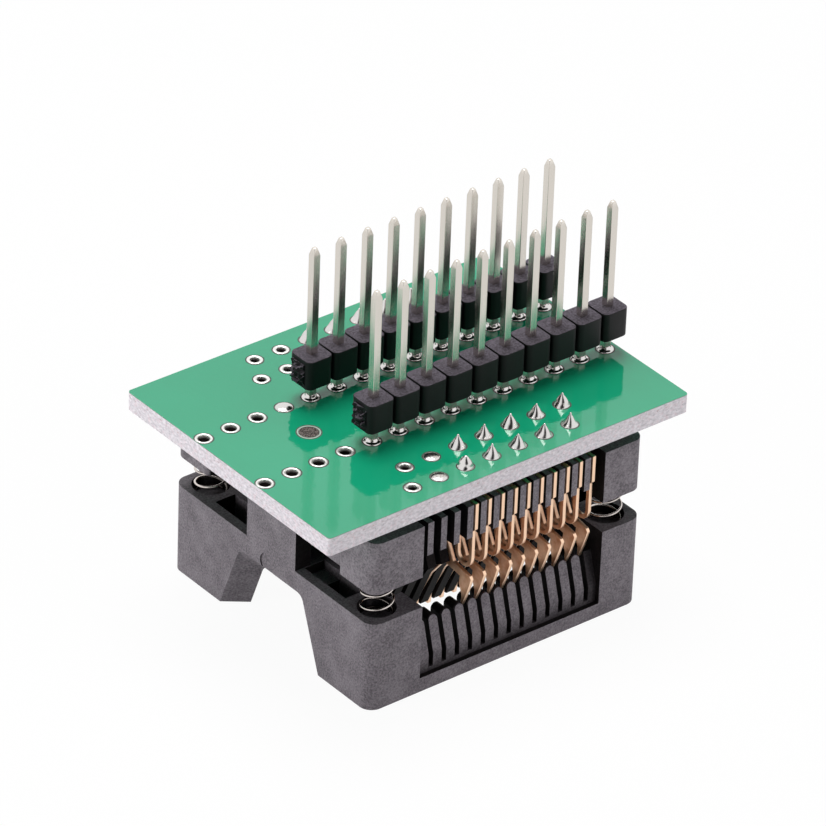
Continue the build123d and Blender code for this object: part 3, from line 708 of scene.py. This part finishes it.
# Tops get at most 0.7 of the bloom, and none below the combs' heads: painted shade, where less light falls
facing_up = add(tree, "ShaderNodeMapRange", {
    "Value": split_normal.outputs["Z"], "From Min": 0.85, "From Max": 0.97, "To Max": 0.7,
})
above_combs = add(tree, "ShaderNodeMapRange", {
    "Value": split_place.outputs["Z"], "From Min": comb_heads[0], "From Max": comb_heads[1],
})
tops = add(tree, "ShaderNodeMath", {0: facing_up, 1: above_combs}, operation="MULTIPLY")

# Inside the windows painted shade takes the bloom away towards the combs' feet and on the last rib at each
# end
outermost = add(tree, "ShaderNodeMapRange", {
    "Value": reaches["Y"], "From Min": window_reach[0], "From Max": window_reach[1],
})
above_feet = add(tree, "ShaderNodeMapRange", {
    "Value": split_place.outputs["Z"], "From Min": comb_feet[0], "From Max": comb_feet[1], "To Min": 0.15,
})
before_end_ribs = add(tree, "ShaderNodeMapRange", {
    "Value": reaches["X"], "From Min": end_ribs_reach[0], "From Max": end_ribs_reach[1],
    "To Min": 1.0, "To Max": 0.15,
})
before_end_ribs = add(tree, "ShaderNodeMath", {0: before_end_ribs, 1: above_combs}, operation="MAXIMUM")
combs = add(tree, "ShaderNodeMath", {0: above_feet, 1: before_end_ribs}, operation="MINIMUM")
windows_unshaded = add(tree, "ShaderNodeMath", {0: outermost, 1: combs}, operation="MAXIMUM")
long_sides = add(tree, "ShaderNodeMath", {0: outer_walls["Y"], 1: windows_unshaded}, operation="MULTIPLY")
bloom_and_shade_share = add(tree, "ShaderNodeMath", {0: outer_walls["X"], 1: long_sides}, operation="MAXIMUM")
bloom_and_shade_share = add(tree, "ShaderNodeMath", {0: bloom_and_shade_share, 1: tops}, operation="MAXIMUM")

# The specks are drawn coarser than the real ones, at 0.16 mm, so that they show. A haze lies on
# them in patches of about 1.5 mm, as the mould's surface wears.
specks = add(tree, "ShaderNodeTexNoise", {
    "Vector": place, "Scale": 1 / (0.16 * mm), "Detail": 4.0, "Roughness": 0.65,
})
haze = add(tree, "ShaderNodeTexNoise", {"Vector": place, "Scale": 1 / (1.5 * mm), "Detail": 3.0})
haze_share = add(tree, "ShaderNodeMath", {0: haze.outputs["Fac"], 1: 0.35}, operation="MULTIPLY")
mottle = add(tree, "ShaderNodeMath", {0: specks.outputs["Fac"], 1: haze_share}, operation="ADD")
bloom = add(tree, "ShaderNodeValToRGB", {"Fac": mottle}, stops=((0.53, "#514C51"), (0.83, "#7D777D")))
painted_shade_black = add(tree, "ShaderNodeValToRGB", {"Fac": specks.outputs["Fac"]},
                   stops=((0.36, "#100E0F"), (0.64, "#1E1B1C")))
walls = add(tree, "ShaderNodeMix", {"Factor": bloom_and_shade_share, "A": painted_shade_black, "B": bloom}, data_type="RGBA")
coarse = add(tree, "ShaderNodeTexNoise", {"Vector": place, "Scale": 1 / (0.12 * mm), "Detail": 2.0})
peg_grain = add(tree, "ShaderNodeValToRGB", {"Fac": coarse.outputs["Fac"]},
                stops=((0.42, "#1C1614"), (0.66, "#8A7F79")))
is_peg_end = add(tree, "ShaderNodeMath", {0: split_place.outputs["Z"], 1: peg_ends}, operation="GREATER_THAN")
plastic_colour = add(tree, "ShaderNodeMix", {
    "Factor": is_peg_end, "A": walls.outputs["Result"], "B": peg_grain,
}, data_type="RGBA")
# Inner walls mirror next to nothing: their reflection is turned down with the bloom, as painted shade
specular = add(tree, "ShaderNodeMapRange", {"Value": bloom_and_shade_share, "To Min": 0.12, "To Max": 0.5})
bump = add(tree, "ShaderNodeBump", {"Height": specks.outputs["Fac"], "Strength": 0.4, "Distance": 0.02 * mm})
eroded = add(tree, "ShaderNodeBsdfPrincipled", {
    "Base Color": plastic_colour.outputs["Result"], "Roughness": 0.6, "IOR": 1.35, "Normal": bump,
    "Specular IOR Level": specular.outputs[0],
})
add(tree, "ShaderNodeOutputMaterial", {"Surface": eroded})
dress("socket_base", fibre_filled, 0.06 * mm)
dress("socket_cover", fibre_filled, 0.06 * mm)

# The cover's ends are hollow from below behind the funnels of the grip notches. The rooms are
# cut before the edges are rounded over, and the hollow moulding stands for the solid one.
room_inner = 9.5 * mm
room_outer = 11.35 * mm
room_half = 7.0 * mm
room_corner = 0.1 * mm
room_bottom = -1 * mm
room_top = 4.2 * mm
rooms = bmesh.new()
for side in (-1, 1):
    room_middle = Vector((socket_x + side * (room_inner + room_outer) / 2, socket_y, 0))
    skin(rooms, [rounded_loop(room_middle, (room_outer - room_inner) / 2, room_half, room_corner, level)
                 for level in (room_bottom, room_top)])
bmesh.ops.recalc_face_normals(rooms, faces=rooms.faces)
room_mesh = bpy.data.meshes.new("rooms")
rooms.to_mesh(room_mesh)
rooms.free()
cutter = bpy.data.objects.new("rooms", room_mesh)
bpy.context.scene.collection.objects.link(cutter)
solid = nodes["socket_cover"]
hollowing = solid.modifiers.new("rooms", "BOOLEAN")
hollowing.object = cutter
hollowing.solver = "EXACT"
solid.modifiers.move(solid.modifiers.find("rooms"), solid.modifiers.find("edges"))
evaluated = solid.evaluated_get(bpy.context.evaluated_depsgraph_get())
moulding = bpy.data.objects.new("cover_moulding", bpy.data.meshes.new_from_object(evaluated))
bpy.context.scene.collection.objects.link(moulding)
solid.modifiers.clear()
bpy.data.objects.remove(cutter)
bpy.data.meshes.remove(room_mesh)
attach(moulding, "cover")
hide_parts("socket_cover")


# Contacts: beryllium copper sheet, stamped and gold-plated. The sheared edges are painted a lighter
# gold, a painted highlight, and the rolled faces of the sheet, which stand across the rows, a deeper
# gold, as painted shade. Handling has dulled these faces in patches of 0.8 mm, and they scatter a part
# of the light.
gilt, tree = new_material("gold_plated_copper")
place = add(tree, "ShaderNodeTexCoord").outputs["Object"]
surface = add(tree, "ShaderNodeNewGeometry")
split_normal = add(tree, "ShaderNodeSeparateXYZ", {"Vector": surface.outputs["Normal"]})
across = add(tree, "ShaderNodeMath", {0: split_normal.outputs["X"]}, operation="ABSOLUTE")
rolled_and_shaded = add(tree, "ShaderNodeMapRange", {"Value": across, "From Min": 0.5, "From Max": 0.85})
wear = add(tree, "ShaderNodeTexNoise", {"Vector": place, "Scale": 1 / (0.8 * mm), "Detail": 4.0})
shaded_deep_gold = add(tree, "ShaderNodeValToRGB", {"Fac": wear.outputs["Fac"]},
                stops=((0.35, "#DCA17A"), (0.65, "#F9CDAB")))
gold = add(tree, "ShaderNodeMix", {"Factor": rolled_and_shaded.outputs[0], "A": paint("#F6D2B4"), "B": shaded_deep_gold},
           data_type="RGBA")
dulled = add(tree, "ShaderNodeMapRange", {"Value": rolled_and_shaded.outputs[0], "To Min": 1.0, "To Max": 0.7})
stamped = add(tree, "ShaderNodeBsdfPrincipled", {
    "Base Color": gold.outputs["Result"], "Metallic": dulled.outputs[0], "Roughness": 0.36,
})
add(tree, "ShaderNodeOutputMaterial", {"Surface": stamped})
for name in nodes:
    if name.startswith("contact_"):
        dress(name, gilt, 0.03 * mm)


# Springs: bright drawn spring wire, coiled open between two closed ends that sit in the wells,
# where the wire is painted dark, as painted shade.
wire_shaded_from = 7.9 * mm
wire_shaded_below = 7.4 * mm
wire_steel, tree = new_material("drawn_spring_steel")
place = add(tree, "ShaderNodeTexCoord").outputs["Object"]
split_place = add(tree, "ShaderNodeSeparateXYZ", {"Vector": place})
in_well = add(tree, "ShaderNodeMapRange", {
    "Value": split_place.outputs["Z"], "From Min": wire_shaded_from, "From Max": wire_shaded_below,
})
wire_tone = add(tree, "ShaderNodeMix", {
    "Factor": in_well.outputs[0], "A": paint("#D2C9C4"), "B": paint("#3A3432"),
}, data_type="RGBA")
drawn_wire = add(tree, "ShaderNodeBsdfPrincipled", {
    "Base Color": wire_tone.outputs["Result"], "Metallic": 1.0, "Roughness": 0.24,
})
add(tree, "ShaderNodeOutputMaterial", {"Surface": drawn_wire})

wire = 0.19 * mm
closed_turns = 0.6
open_turns = 3.2
steps_per_turn = 40
wire_sides = 10
turns = open_turns + 2 * closed_turns
for end in ("left", "right"):
    for row in ("front", "back"):
        node = f"spring_{end}_{row}"
        low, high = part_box(node)
        middle = (low + high) / 2
        radius = (high.x - low.x - wire) / 2
        open_rise = high.z - low.z - wire - 2 * closed_turns * wire
        loops = []
        for step in range(int(turns * steps_per_turn) + 1):
            done = step / steps_per_turn
            closed = min(done, closed_turns) + max(done - closed_turns - open_turns, 0)
            opened = min(max(done - closed_turns, 0), open_turns)
            climbed = wire / 2 + opened / open_turns * open_rise + closed * wire
            angle = 2 * math.pi * done
            outward = Vector((math.cos(angle), math.sin(angle), 0))
            centre = Vector((middle.x, middle.y, low.z + climbed)) + outward * radius
            loop = []
            for corner in range(wire_sides):
                around = 2 * math.pi * corner / wire_sides
                spoke = outward * math.cos(around) + Vector((0, 0, math.sin(around)))
                loop.append(centre + spoke * wire / 2)
            loops.append(loop)
        coil = bmesh.new()
        skin(coil, loops)
        piece = finished(coil, f"coil_{end}_{row}", wire_steel, "adapter", node)
        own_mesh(piece)
